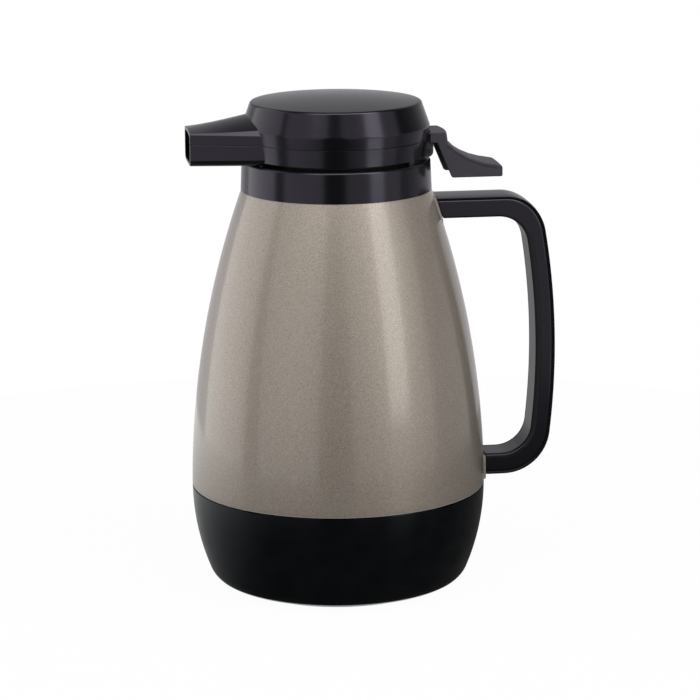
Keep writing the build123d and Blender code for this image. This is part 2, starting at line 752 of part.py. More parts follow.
# ---- lever ----
def lever_side(shift):
    """Side view of the thumb piece, moved in and down by the shift."""
    def at(x, z):
        return (x - shift, z - shift)
    back = Line(at(hump_x, lever_top_z), at(hump_x + hump_step, hump_drop_z))
    slope = SagittaArc(back @ 1, at(tip_reach, tip_top_z), -slope_sag)
    outline = Polyline(at(lever_root_x, neck_bottom_z), at(lever_root_x, lever_top_z), at(hump_x, lever_top_z))
    outline += back + slope
    outline += Polyline(
        slope @ 1, at(tip_reach, tip_bottom_z), at(heel_x, tip_bottom_z),
        at(hump_x - lever_wall * 2, neck_bottom_z), at(lever_root_x, neck_bottom_z),
    )
    return outline


def lever():
    """Hollow thumb piece, its arm through the lid's back, and the two lugs on the pin."""
    solid = slab(lever_side(0), lever_half_width)
    solid -= slab(lever_side(lever_wall), lever_half_width - lever_wall)
    lug_root_x = pivot_x - lug_r
    arm_root_x = hump_x - lever_wall
    bridge_top_z = lever_top_z - lever_wall / 2
    bridge_low_z = arm_top_z - lever_wall / 2
    solid += block(lug_root_x, arm_root_x + lever_wall / 2, lug_outer_y, bridge_low_z, bridge_top_z)
    lugs = block(lug_root_x, pivot_x + lug_r, lug_outer_y, pivot_z, arm_top_z)
    lugs += rod_y(pivot_x, pivot_z, lug_r, lug_outer_y)
    solid += lugs - block(lug_root_x - over, hump_x, lug_inner_y, pivot_z - lug_r - over, arm_bottom_z)
    arm = block(prong_r, arm_root_x, arm_half_width, arm_bottom_z, bridge_low_z)
    arm += block(clip_r + prong_r, arm_root_x, arm_half_width, arm_bottom_z, arm_top_z)
    arm += rod_y(0, prong_z, prong_r, arm_half_width)
    arm += block(0, 2 * prong_r, arm_half_width, prong_z - prong_r, prong_z)
    stem_slot_x = 2 * stem_r + prong_r
    solid += arm - block(-stem_slot_x, stem_slot_x, stem_r + moving_gap, arm_bottom_z - over, lever_top_z)
    return solid - rod_y(pivot_x, pivot_z, pin_r + running_gap, lever_half_width)


def lever_pin():
    return rod_y(pivot_x, pivot_z, pin_r, lug_outer_y)


parts = {
    "base_cup": base_cup,
    "foot_ring": foot_ring,
    "bottom_cap": bottom_cap,
    "liner_cushion": liner_cushion,
    "flask_outer_wall": flask_outer_wall,
    "flask_inner_wall": flask_inner_wall,
    "body_shell": body_shell,
    "neck_collar": neck_collar,
    "neck_gasket": neck_gasket,
    "handle_body": handle_body,
    "handle_insert": handle_insert,
    "handle_screws": handle_screws,
    "stopper_gasket": stopper_gasket,
    "lid_base": lid_base,
    "lid_cover": lid_cover,
    "stopper_plug": stopper_plug,
    "lid_screws": lid_screws,
    "stem_guide": stem_guide,
    "valve_spring": valve_spring,
    "lever_pin": lever_pin,
    "lever": lever,
    "valve_stem": valve_stem,
    "valve_disc": valve_disc,
    "stem_clip": stem_clip,
}

os.makedirs("parts", exist_ok=True)
for name, make in parts.items():
    export_step(make(), f"parts/{name}.step")
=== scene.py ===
import bpy
import json
from math import asin, atan2, cos, degrees, pi, radians, sin, sqrt, tan
from mathutils import Euler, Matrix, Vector

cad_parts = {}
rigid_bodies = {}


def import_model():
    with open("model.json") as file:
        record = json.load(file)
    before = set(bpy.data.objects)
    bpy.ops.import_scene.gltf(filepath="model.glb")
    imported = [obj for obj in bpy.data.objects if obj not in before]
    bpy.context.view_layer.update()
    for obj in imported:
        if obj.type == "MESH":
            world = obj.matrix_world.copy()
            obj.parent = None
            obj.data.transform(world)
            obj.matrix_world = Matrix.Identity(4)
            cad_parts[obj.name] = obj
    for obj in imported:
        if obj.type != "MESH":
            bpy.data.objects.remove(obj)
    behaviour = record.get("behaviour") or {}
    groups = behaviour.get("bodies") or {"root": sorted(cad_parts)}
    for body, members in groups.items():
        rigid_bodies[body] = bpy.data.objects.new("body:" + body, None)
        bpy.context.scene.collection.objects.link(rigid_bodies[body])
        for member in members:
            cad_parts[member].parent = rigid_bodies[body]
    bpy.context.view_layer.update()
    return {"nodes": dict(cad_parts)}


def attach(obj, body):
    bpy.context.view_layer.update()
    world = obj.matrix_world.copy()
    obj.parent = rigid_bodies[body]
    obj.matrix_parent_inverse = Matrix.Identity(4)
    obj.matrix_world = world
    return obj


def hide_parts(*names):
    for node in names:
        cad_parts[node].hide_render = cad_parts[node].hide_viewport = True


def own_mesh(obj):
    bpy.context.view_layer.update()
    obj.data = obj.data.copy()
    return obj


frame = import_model()
mm = 0.001

# ---- Base cup ----
# The foot of the carafe is a deep cup moulded in glossy black plastic. Its side bows in to a
# round lower corner, and a fine groove under the shell's edge shows as a dark joint. It screws
# into the shell by a lip, whose thread is left plain.
cup_r = 72.1
cup_height = 50.0
cup_corner_r = 11.2
cup_bow_r = 110.0
cup_floor_z = 1.4
cup_wall = 2.4
cup_hole_r = 22.0
cup_groove_depth = 0.8
cup_groove_height = 0.55
lip_height = 3.0
lip_wall = 1.4
lip_taper = 0.1
ring_seat_inner_r = 45.7
ring_seat_outer_r = 51.9
ring_seat_z = 2.6
round_steps = 180


class Wire:
    """One output socket; arithmetic on it adds the Math nodes."""

    def __init__(self, finish, socket):
        self.finish = finish
        self.socket = socket

    def math(self, operation, *values):
        return self.finish.add("ShaderNodeMath", {"operation": operation}, dict(enumerate(values)))

    def __add__(self, other):
        return self.math("ADD", self, other)

    def __radd__(self, other):
        return self.math("ADD", other, self)

    def __sub__(self, other):
        return self.math("SUBTRACT", self, other)

    def __rsub__(self, other):
        return self.math("SUBTRACT", other, self)

    def __mul__(self, other):
        return self.math("MULTIPLY", self, other)

    def __rmul__(self, other):
        return self.math("MULTIPLY", other, self)

    def over(self, level):
        return self.math("GREATER_THAN", self, level)

    def at_least(self, other):
        return self.math("MAXIMUM", self, other)

    def at_most(self, other):
        return self.math("MINIMUM", self, other)


class Finish:
    """A material, or the world, and its nodes."""

    def __init__(self, name, block=None):
        self.block = block or bpy.data.materials.new(name)
        self.block.use_nodes = True
        self.tree = self.block.node_tree
        self.tree.nodes.clear()

    def add(self, kind, settings=None, sockets=None, output=0):
        """Adds a node: its settings come first, then its sockets' values or wires; gives an output back."""
        node = self.tree.nodes.new(kind)
        for key, value in (settings or {}).items():
            setattr(node, key, value)
        for key, value in (sockets or {}).items():
            if isinstance(value, Wire):
                self.tree.links.new(value.socket, node.inputs[key])
            else:
                node.inputs[key].default_value = value
        return Wire(self, node.outputs[output]) if node.outputs else None

    def place(self):
        return self.add("ShaderNodeTexCoord", output="Object")

    def part(self, vector, axis):
        return self.add("ShaderNodeSeparateXYZ", None, {0: vector}, output=axis)

    def noise(self, scale, detail=2.0):
        sockets = {"Vector": self.place(), "Scale": scale, "Detail": detail}
        return self.add("ShaderNodeTexNoise", None, sockets)

    def blend(self, share, first, second):
        colours = {0: share, 6: first, 7: second}
        return self.add("ShaderNodeMix", {"data_type": "RGBA"}, colours, output=2)

    def bump(self, height, depth):
        return self.add("ShaderNodeBump", None, {"Height": height, "Distance": depth})

    def surface(self, sockets):
        shader = self.add("ShaderNodeBsdfPrincipled", None, sockets)
        self.add("ShaderNodeOutputMaterial", None, {0: shader})
        return self.block


def arc(centre, radius, first, last, steps):
    """Points along a circular arc between two angles in degrees."""
    angles = [radians(first + (last - first) * step / steps) for step in range(steps + 1)]
    return [(centre[0] + radius * cos(angle), centre[1] + radius * sin(angle)) for angle in angles]


def begin(name):
    """A new object with one vertex at the origin, open in edit mode."""
    if bpy.context.mode != "OBJECT":
        bpy.ops.object.mode_set(mode="OBJECT")
    bpy.ops.object.select_all(action="DESELECT")
    bpy.ops.mesh.primitive_plane_add(size=mm)
    piece = bpy.context.object
    piece.name = name
    bpy.ops.object.mode_set(mode="EDIT")
    bpy.ops.mesh.select_mode(type="VERT")
    bpy.ops.mesh.merge(type="CENTER")
    return piece


def draw(points, closed=False):
    """Moves the selected vertex to the first point and extrudes it along the others, given in mm."""
    places = [Vector(point) * mm for point in points]
    bpy.ops.transform.translate(value=places[0])
    for start, end in zip(places, places[1:]):
        bpy.ops.mesh.extrude_region_move(TRANSFORM_OT_translate={"value": end - start})
    bpy.ops.mesh.select_linked()
    if closed:
        bpy.ops.mesh.remove_doubles(threshold=mm / 1000)


def turned(name, outline):
    """A body of revolution; the outline is a closed loop of (radius, height)."""
    piece = begin(name)
    draw([(radius, 0, height) for radius, height in outline + outline[:1]])
    bpy.ops.mesh.spin(steps=round_steps, angle=2 * pi, center=(0, 0, 0), axis=(0, 0, 1))
    bpy.ops.mesh.select_all(action="SELECT")
    bpy.ops.mesh.remove_doubles(threshold=mm / 500)
    bpy.ops.mesh.normals_make_consistent(inside=False)
    bpy.ops.object.mode_set(mode="OBJECT")
    bpy.ops.object.shade_smooth_by_angle(angle=radians(28))
    return piece


def fit(piece, node, body, finish):
    """Gives a piece its material and its body, and hides the CAD node it stands for."""
    piece.data.materials.clear()
    piece.data.materials.append(finish)
    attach(piece, body)
    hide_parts(node)


def dress(node, finish):
    """A CAD node keeps its shape and takes a material."""
    for slot in frame["nodes"][node].material_slots:
        slot.material = finish


swing = degrees(asin((cup_height - cup_floor_z - cup_corner_r) / (cup_bow_r - cup_corner_r)))
bow_centre = (cup_r - cup_bow_r, cup_height)
corner_reach = cup_bow_r - cup_corner_r
corner_centre = (bow_centre[0] + corner_reach * cos(radians(swing)), cup_floor_z + cup_corner_r)
ring_seat = [(ring_seat_inner_r, cup_floor_z), (ring_seat_inner_r, ring_seat_z)]
ring_seat += [(ring_seat_outer_r, ring_seat_z), (ring_seat_outer_r, cup_floor_z)]
cup_outside = [(cup_hole_r, cup_floor_z)] + ring_seat
cup_outside += arc(corner_centre, cup_corner_r, -90, -swing, 14)
cup_outside += arc(bow_centre, cup_bow_r, -swing, -degrees(asin(cup_groove_height / cup_bow_r)), 22)[1:]
groove_r = cup_r - cup_groove_depth
cup_outside += [(groove_r, cup_height - cup_groove_height), (groove_r, cup_height)]
cup_inside = arc(bow_centre, cup_bow_r - cup_wall, 0, -swing, 12)
cup_inside += arc(corner_centre, cup_corner_r - cup_wall, -swing, -90, 8)
cup_inside += [(cup_hole_r, cup_floor_z + cup_wall)]
lip_r = cup_r - cup_wall
lip_top_z = cup_height + lip_height
cup_lip = [(lip_r, cup_height), (lip_r - lip_taper, lip_top_z), (lip_r - lip_wall, lip_top_z)]
cup_lip += [(lip_r - lip_wall, cup_height - lip_height)]
base_cup = turned("base_cup_glossy", cup_outside + cup_lip + cup_inside[2:])
gloss = Finish("gloss_black_plastic")
gloss_black = gloss.surface({
    "Base Color": gloss.blend(gloss.noise(60.0), (0.0004, 0.0005, 0.0006, 1), (0.0008, 0.0010, 0.0012, 1)),
    "Roughness": gloss.noise(200.0) * 0.04 + 0.12, "Normal": gloss.bump(gloss.noise(900.0), 0.000003),
    "Specular IOR Level": 0.56, "Specular Tint": (0.78, 0.9, 1.0, 1),
})
fit(base_cup, "base_cup", "carafe", gloss_black)

# ---- Foot ring ----
# A ring of black rubber pressed into a groove under the cup. It carries the carafe and
# keeps it from sliding; its edges are slightly rounded.
ring_inner_r = 45.8
ring_outer_r = 51.8
ring_height = 2.6
ring_edge = 0.5
ring_outline = arc((ring_inner_r + ring_edge, ring_edge), ring_edge, 180, 270, 4)
ring_outline += arc((ring_outer_r - ring_edge, ring_edge), ring_edge, 270, 360, 4)
ring_outline += [(ring_outer_r, ring_height), (ring_inner_r, ring_height)]
foot_ring = turned("foot_ring_rubber", ring_outline)

rubber = Finish("black_rubber")
black_rubber = rubber.surface({
    "Base Color": rubber.blend(rubber.noise(400.0), (0.015, 0.015, 0.015, 1), (0.03, 0.03, 0.03, 1)),
    "Roughness": rubber.noise(700.0) * 0.12 + 0.7, "Normal": rubber.bump(rubber.noise(2500.0), 0.00003),
})
fit(foot_ring, "foot_ring", "carafe", black_rubber)

# ---- Bottom cap and cushion ----
# A satin black cap closes the hole in the cup's floor and is turned with a coin in its slot.
# The soft rubber ring on it holds the glass flask up.
satin = Finish("satin_black_plastic")
satin_black = satin.surface({
    "Base Color": satin.blend(satin.noise(80.0), (0.0028, 0.0027, 0.0031, 1), (0.0042, 0.0040, 0.0046, 1)),
    "Roughness": satin.noise(300.0) * 0.06 + 0.15, "Normal": satin.bump(satin.noise(2500.0), 0.000006),
    "Specular IOR Level": 0.6, "Specular Tint": (0.86, 0.8, 1.0, 1),
})
dress("bottom_cap", satin_black)
dress("liner_cushion", black_rubber)

# ---- Vacuum flask ----
# A double-walled glass flask, silvered between its walls, stands inside the shell. Its
# silver is slightly cloudy where the film is thin.
mirror = Finish("silvered_glass")
silvered_glass = mirror.surface({
    "Base Color": mirror.blend(mirror.noise(25.0, 3.0), (0.72, 0.73, 0.75, 1), (0.86, 0.87, 0.89, 1)),
    "Metallic": 0.9, "Roughness": mirror.noise(60.0) * 0.05 + 0.06,
    "Normal": mirror.bump(mirror.noise(35.0), 0.00008),
})
dress("flask_outer_wall", silvered_glass)
dress("flask_inner_wall", silvered_glass)

# ---- Shell ----
# The shell is moulded plastic under a satin taupe metallic paint. Fine flakes show as a
# dense speckle, with a thin clear coat over them. Two raised pads carry the handle's arms.
shell_foot = (72.14, 50.0)
shell_middle = (65.55, 123.0)
shell_top = (46.2, 196.4)
shell_wall = 2.2
shell_edge = 0.5
# top of the painted highlight along the shell's lowest edge, in mm
painted_highlight_top_z = 50.55
pad_half = 10.65
pad_edge = 0.55
pad_root_x = 44.0


def circle_through(first, second, third):
    """Centre and radius of the circle through three points."""
    ax, ay = first
    bx, by = second[0] - ax, second[1] - ay
    cx, cy = third[0] - ax, third[1] - ay
    double = 2 * (bx * cy - by * cx)
    x = (cy * (bx**2 + by**2) - by * (cx**2 + cy**2)) / double
    y = (bx * (cx**2 + cy**2) - cx * (bx**2 + by**2)) / double
    return (ax + x, ay + y), sqrt(x**2 + y**2)


def choose(piece, wanted, kind="edges", rims=False):
    """Selects the edges, polygons or vertices with the wanted corners, in mm; with rims, open edges only."""
    bpy.context.view_layer.objects.active = piece
    bpy.ops.object.mode_set(mode="EDIT")
    bpy.ops.mesh.select_mode(type={"vertices": "VERT", "edges": "EDGE", "polygons": "FACE"}[kind])
    bpy.ops.mesh.select_all(action="DESELECT" if rims else "SELECT")
    if rims:
        bpy.ops.mesh.select_non_manifold()
    bpy.ops.object.mode_set(mode="OBJECT")
    among = [item.index for item in getattr(piece.data, kind) if item.select]
    places = [vertex.co / mm for vertex in piece.data.vertices]
    bpy.ops.object.mode_set(mode="EDIT")
    bpy.ops.mesh.select_all(action="DESELECT")
    bpy.ops.object.mode_set(mode="OBJECT")
    for number in among:
        item = getattr(piece.data, kind)[number]
        corners = [number] if kind == "vertices" else item.vertices
        item.select = wanted([places[corner] for corner in corners])
    bpy.ops.object.mode_set(mode="EDIT")


def slab(name, outline, low_y, high_y):
    """A plate between two values of y; the outline is a closed loop of (x, z) in mm."""
    piece = begin(name)
    draw([(x, low_y, z) for x, z in outline + outline[:1]], closed=True)
    bpy.ops.mesh.edge_face_add()
    bpy.ops.mesh.extrude_region_move(TRANSFORM_OT_translate={"value": (0, (high_y - low_y) * mm, 0)})
    bpy.ops.mesh.select_all(action="SELECT")
    bpy.ops.mesh.normals_make_consistent(inside=False)
    bpy.ops.object.mode_set(mode="OBJECT")
    return piece


def carve(piece, tool, operation="DIFFERENCE"):
    """Cuts a tool out of a piece, or joins it on, and clears the tool away."""
    bpy.ops.object.select_all(action="DESELECT")
    bpy.context.view_layer.objects.active = piece
    piece.select_set(True)
    modifier = piece.modifiers.new(operation.lower(), "BOOLEAN")
    modifier.operation = operation
    modifier.object = tool
    modifier.solver = "EXACT"
    bpy.ops.object.modifier_apply(modifier=modifier.name)
    bpy.data.objects.remove(tool)


def settle_normals(piece, angle):
    """Shades a piece smooth up to an angle, with its flat areas kept flat."""
    bpy.ops.object.select_all(action="DESELECT")
    piece.select_set(True)
    bpy.context.view_layer.objects.active = piece
    bpy.ops.object.shade_smooth_by_angle(angle=radians(angle))
    modifier = piece.modifiers.new("flat_areas", "WEIGHTED_NORMAL")
    modifier.keep_sharp = True
    bpy.ops.object.modifier_apply(modifier=modifier.name)


def pad(name, side, face):
    """A raised seat for an arm, from its side view, with the edges of its face rounded."""
    piece = slab(name, side, -pad_half, pad_half)
    choose(piece, lambda corners: all(face(corner) for corner in corners))
    bpy.ops.mesh.bevel(offset=pad_edge * mm, segments=4)
    bpy.ops.object.mode_set(mode="OBJECT")
    return piece


shell_centre, shell_r = circle_through(shell_foot, shell_middle, shell_top)
foot_turn = degrees(asin((shell_foot[1] + shell_edge - shell_centre[1]) / shell_r))
top_turn = degrees(asin((shell_top[1] - shell_centre[1]) / shell_r))
shell_outside = arc(shell_centre, shell_r, foot_turn, top_turn, 60)
shell_inside = arc(shell_centre, shell_r - shell_wall, top_turn, foot_turn, 30)
shell_inside += [(shell_foot[0] - inset, shell_foot[1]) for inset in (shell_wall, shell_edge)]
shell_inside += [(shell_foot[0] - shell_edge * 0.25, shell_foot[1] + shell_edge * 0.25)]
shell = turned("shell_painted", shell_outside + shell_inside)
upper_side = [(pad_root_x, 193.4), (46.95, 193.4), (50.95, 180.7), (51.2, 177.0), (pad_root_x, 177.0)]
lower_side = [(66, 50.05), (72.5, 50.05), (72.5, 61.6), (66, 61.6)]
carve(shell, pad("upper_pad", upper_side, lambda corner: corner.x > 47), "UNION")
carve(shell, pad("lower_pad", lower_side, lambda corner: corner.x > 72), "UNION")
settle_normals(shell, 30)
paint = Finish("taupe_metallic_paint")
flakes = paint.noise(2100.0, 3.0)
clouds = paint.noise(30.0, 3.0)
# Below that height the paint is blended towards pale grey: a painted highlight of light caught on the
# shell's lowest edge.
painted_highlight_band = 1 - paint.part(paint.place(), "Z").over(painted_highlight_top_z * mm)
speckled = paint.blend(flakes, (0.1, 0.083, 0.065, 1), (0.612, 0.53, 0.446, 1))
paint_colour = paint.blend(painted_highlight_band * 0.6, speckled, (0.62, 0.6, 0.56, 1))
shell_paint = paint.surface({
    "Base Color": paint_colour, "Metallic": 0.5, "Roughness": clouds * 0.05 + 0.36,
    "Coat Weight": 1.0, "Coat Roughness": 0.12, "Normal": paint.bump(flakes, 0.00002),
})
fit(shell, "body_shell", "carafe", shell_paint)

# ---- Neck collar and its gasket ----
# A satin black ring snapped into the shell's mouth. It holds the flask down through a grey
# silicone gasket, and the lid turns in its bore.
silicone = Finish("grey_silicone")
grey_silicone = silicone.surface({
    "Base Color": silicone.blend(silicone.noise(200.0), (0.3, 0.3, 0.3, 1), (0.38, 0.38, 0.375, 1)),
    "Roughness": silicone.noise(600.0) * 0.1 + 0.55,
    "Normal": silicone.bump(silicone.noise(1500.0), 0.00002),
})
dress("neck_collar", satin_black)
dress("neck_gasket", grey_silicone)

# ---- Handle ----
# A loop moulded in satin black plastic, screwed to the shell from inside. Its outer face is
# a crowned cap set on the side walls with a fine groove, and a softer strip lines the grip.
handle_half = 10.15
handle_top_z = 191.9
handle_foot_z = 51.9
grip_centre = (-252.1, 114.0)
grip_bow_r = 359.3
arm_depth_top = 10.5
arm_depth_low = 10.4
grip_depth = 9.6
upper_r = 19.5
knuckle_r = 24.0
knuckle_turn = 35
heel_r = 23.3
inner_r = 15.0
strip_depth = 2.3
strip_ends = 3.0
strip_gap = 0.04
upper_arm_x = 46.0
lower_arm_x = 72.9
tongue_half = 8.8
tool_half = 12.0
recess_open_x = 70.0


def crossing(radius, corner_r, z):
    """Centre of a corner arc at height z that runs smoothly into a bow about the grip's centre."""
    return (grip_centre[0] + sqrt((radius - corner_r) ** 2 - (z - grip_centre[1]) ** 2), z)


def bearing(centre):
    return degrees(atan2(centre[1] - grip_centre[1], centre[0] - grip_centre[0]))


def pivot_turn(centre, first, last, steps):
    """Spins the selected section about an axis along Y, from one angle to the other, in degrees."""
    middle = (centre[0] * mm, 0, centre[1] * mm)
    bpy.ops.mesh.spin(steps=steps, angle=radians(last - first), center=middle, axis=(0, 1, 0))


knuckle_z = handle_top_z - upper_r + (upper_r - knuckle_r) * sin(radians(knuckle_turn))
knuckle = crossing(grip_bow_r, knuckle_r, knuckle_z)
upper = (knuckle[0] - (upper_r - knuckle_r) * cos(radians(knuckle_turn)), handle_top_z - upper_r)
heel = crossing(grip_bow_r, heel_r, handle_foot_z + heel_r)
inner_bow_r = grip_bow_r - grip_depth
head = crossing(inner_bow_r, inner_r, handle_top_z - arm_depth_top - inner_r)
foot = crossing(inner_bow_r, inner_r, handle_foot_z + arm_depth_low + inner_r)

crown = [(9.8 * step / 9, 0.3 * (step / 9) ** 3) for step in range(10)]
cap_edge = [(10.05, 0.36), (10.15, 0.5), (10.08, 0.64), (9.0, 0.68), (8.9, 1.5)]
shoulder = [(9.2, 1.53), (9.55, 1.66), (9.85, 1.92), (10.05, 2.3), (10.15, 2.8)]
outer_half = crown + cap_edge + shoulder
groove = [(7.6, 0), (7.8, 0.8), (9.0, 0.85)]
bead = [(9.15, 0.3), (9.4, 0.15), (9.75, 0.27), (10.03, 0.55), (10.15, 0.95)]
inner_half = [(0, 0), (5, 0)] + groove + bead + [(10.15, 2.5)]


def across(half):
    """Both sides of a section given as (distance from the middle, depth)."""
    return [(-y, depth) for y, depth in reversed(half[1:])] + half


def straight(start_x, end_x):
    """Runs the selected section along X."""
    bpy.ops.mesh.extrude_region_move(TRANSFORM_OT_translate={"value": ((end_x - start_x) * mm, 0, 0)})


def sweep(section, top_z, arcs, heel_arc, arms=True):
    """Runs a section along the upper arm, the grip and the lower arm, or without arms along the grip."""
    arc_x = arcs[0][0][0]
    draw([(upper_arm_x if arms else arc_x, y, top_z + depth) for y, depth in section])
    if arms:
        straight(upper_arm_x, arc_x)
    grip = (grip_centre, bearing(arcs[-1][0]), bearing(heel_arc), 24)
    for centre, first, last, steps in arcs + [grip, (heel_arc, bearing(heel_arc), -90, 16)]:
        pivot_turn(centre, first, last, steps)
    if arms:
        straight(heel_arc[0], lower_arm_x)


def close_up(piece):
    """Fills the open ends, merges doubles and turns all faces outwards."""
    bpy.ops.mesh.select_all(action="SELECT")
    bpy.ops.mesh.fill_holes(sides=0)
    bpy.ops.mesh.select_all(action="SELECT")
    bpy.ops.mesh.remove_doubles(threshold=mm / 1000)
    bpy.ops.mesh.normals_make_consistent(inside=False)
    bpy.ops.object.mode_set(mode="OBJECT")


handle = begin("handle_loop")
outer_arcs = [(upper, 90, knuckle_turn, 12), (knuckle, knuckle_turn, bearing(knuckle), 8)]
sweep([(y, -depth) for y, depth in across(outer_half)], handle_top_z, outer_arcs, heel)
bpy.ops.mesh.select_all(action="DESELECT")
bpy.ops.mesh.primitive_plane_add(size=mm)
bpy.ops.mesh.merge(type="CENTER")
inner_arcs = [(head, 90, bearing(head), 20)]
inner_top_z = handle_top_z - arm_depth_top
sweep(across(inner_half), inner_top_z, inner_arcs, foot)
for side in (-handle_half, handle_half):
    choose(handle, lambda corners: max(corner.x for corner in corners) > 74
           and all(abs(corner.y - side) < 0.001 for corner in corners), rims=True)
    bpy.ops.mesh.bridge_edge_loops()
close_up(handle)


def strip_curve(behind):
    """Side view of a line behind the grip's inner face, between the strip's two ends."""
    radius = inner_r + behind
    drop = degrees(asin((inner_r - strip_ends) / radius))
    points = arc(foot, radius, -drop, bearing(foot), 12)
    points += arc(grip_centre, inner_bow_r + behind, bearing(foot), bearing(head), 24)[1:]
    return points + arc(head, radius, bearing(head), drop, 12)[1:]


upper_seat = [(pad_root_x, 193), (47.865, 193), (51.67, 180.5), (pad_root_x, 180.5)]
carve(handle, slab("upper_seat_tool", upper_seat, -tool_half, tool_half))
recess_back = strip_curve(strip_depth + strip_gap)
upper_tongue = [(46.6, 190.6), (49.8, 190.6), (52.8, 182.6), (49.8, 182.6)]
lower_tongue = [(71.0, 52.6), (75, 52.6), (75, 61.0), (71.0, 61.0)]
for tongue in (upper_tongue, lower_tongue):
    carve(handle, slab("arm_tongue", tongue, -tongue_half, tongue_half), "UNION")
recess = [(recess_open_x, recess_back[0][1])] + recess_back + [(recess_open_x, recess_back[-1][1])]
carve(handle, slab("recess_tool", recess, -tool_half, tool_half))
settle_normals(handle, 30)
fit(handle, "handle_body", "carafe", satin_black)

grip_strip = begin("handle_grip_strip")
strip_half = inner_half[:-1] + [(10.15, 2.05), (10.0, strip_depth)]
sweep(across(strip_half) + [(-10.0, strip_depth)], inner_top_z, inner_arcs, foot, arms=False)
close_up(grip_strip)
bpy.ops.object.mode_set(mode="EDIT")
for height, up in ((foot[1] - inner_r + strip_ends, -1), (head[1] + inner_r - strip_ends, 1)):
    bpy.ops.mesh.select_all(action="SELECT")
    level = (0, 0, height * mm)
    bpy.ops.mesh.bisect(plane_co=level, plane_no=(0, 0, up), use_fill=True, clear_outer=True)
bpy.ops.object.mode_set(mode="OBJECT")
settle_normals(grip_strip, 30)
soft = Finish("grip_strip_plastic")
grip_grey = soft.surface({
    "Base Color": soft.blend(soft.noise(500.0), (0.006, 0.006, 0.0066, 1), (0.009, 0.009, 0.0096, 1)),
    "Roughness": soft.noise(900.0) * 0.08 + 0.3, "Normal": soft.bump(soft.noise(3000.0), 0.00001),
})
fit(grip_strip, "handle_insert", "carafe", grip_grey)

steel = Finish("drawn_steel")
drawn_steel = steel.surface({
    "Base Color": steel.blend(steel.noise(900.0, 4.0), (0.5, 0.5, 0.51, 1), (0.68, 0.68, 0.69, 1)),
    "Metallic": 1.0, "Roughness": steel.noise(1500.0) * 0.15 + 0.22,
    "Normal": steel.bump(steel.noise(2500.0), 0.00001),
})
dress("handle_screws", drawn_steel)

# ---- Stopper plug ----
# The tube that closes the flask's mouth is screwed under the lid, with the plate that guides
# the valve's stem in it. It is natural dark grey plastic, as moulded, with a silicone seal.
inner = Finish("moulded_plastic")
inner_plastic = inner.surface({
    "Base Color": inner.blend(inner.noise(300.0), (0.02, 0.02, 0.022, 1), (0.035, 0.035, 0.038, 1)),
    "Roughness": inner.noise(400.0) * 0.1 + 0.5, "Normal": inner.bump(inner.noise(2000.0), 0.00001),
})
dress("stopper_plug", inner_plastic)
dress("stem_guide", inner_plastic)
dress("stopper_gasket", grey_silicone)
dress("lid_screws", drawn_steel)

# ---- Valve ----
# A silicone disc on the stem's foot shuts the port in the plug's floor. A spring coiled from
# steel wire holds it down; the lever's fork lifts the clip on the stem's head against it.
spring_r = 5.4
wire_r = 0.45
spring_turns = 6
spring_low_z = 186.25
spring_high_z = 200.55

spring = begin("valve_spring_coil")
wire = arc((spring_r, spring_low_z), wire_r, 0, 360, 10)
draw([(x, 0, z) for x, z in wire], closed=True)
bpy.ops.object.mode_set(mode="OBJECT")
coil = spring.modifiers.new("coil", "SCREW")
coil.axis = "Z"
coil.angle = 2 * pi
coil.iterations = spring_turns
coil.screw_offset = (spring_high_z - spring_low_z) / spring_turns * mm
coil.steps = coil.render_steps = 32
bpy.ops.object.modifier_apply(modifier=coil.name)
bpy.ops.object.mode_set(mode="EDIT")
close_up(spring)
bpy.ops.object.shade_smooth_by_angle(angle=radians(50))
fit(spring, "valve_spring", "stopper", drawn_steel)
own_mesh(spring)
dress("valve_stem", inner_plastic)
dress("stem_clip", inner_plastic)
dress("valve_disc", grey_silicone)

# ---- Lid and spout ----
# Two satin black mouldings meet in a fine seam round the lid and along the spout: a base with
# the channel to the mouth, and a domed cover. The spout's sides are upright, its roof bevelled.
lid_foot_z = 213.24
lid_foot_r = 44.0
lid_floor_z = 215.24
lid_seam_z = 221.5
lid_seam_r = 44.8
lid_wide = (45.5, 227.6)
lid_rim = (41.4, 239.2)
lid_top_z = 241.75
lid_wall = 2.0
lid_wide_round = 2.4
lid_rim_round = 1.6
spout_tip_x = -72.1
spout_root_x = -30.0
spout_tip_half = 13.5
spout_spread = 12.3
spout_ridge_z = 226.3
spout_crest_z = 227.7
spout_crest_rise = 9.1
spout_floor_z = 210.8
spout_floor_rise = 1.1
spout_low_round = 3.4
spout_wall = 1.5
channel_mouth_z = 212.3
channel_end_x = -36.0
roof_hollow = 0.5
facet_tip = 0.4
facet_spread = 1.9
facet_steep = 1.4
mouth_round = 0.45
seam_round = 0.22
plug_room_r = 41.5
outlet_r = 20.5
pin_x = 43.4
pin_z = 214.7
pin_hole_r = 1.55
bracket_r = 3.0
bracket_half = 7.5
lug_slot_half = 10.1


def rounded(corners, steps=4):
    """A closed outline through corners given as (x, z, radius), each corner turned into an arc."""
    outline = []
    for number, (x, z, radius) in enumerate(corners):
        corner = Vector((x, z))
        before = (Vector(corners[number - 1][:2]) - corner).normalized()
        after = (Vector(corners[(number + 1) % len(corners)][:2]) - corner).normalized()
        half = before.angle(after) / 2
        if radius == 0:
            outline.append((x, z))
            continue
        centre = corner + (before + after).normalized() * radius / sin(half)
        first = corner + before * radius / tan(half) - centre
        last = corner + after * radius / tan(half) - centre
        for step in range(steps + 1):
            outline.append(tuple(centre + first.slerp(last, step / steps) * radius))
    return outline


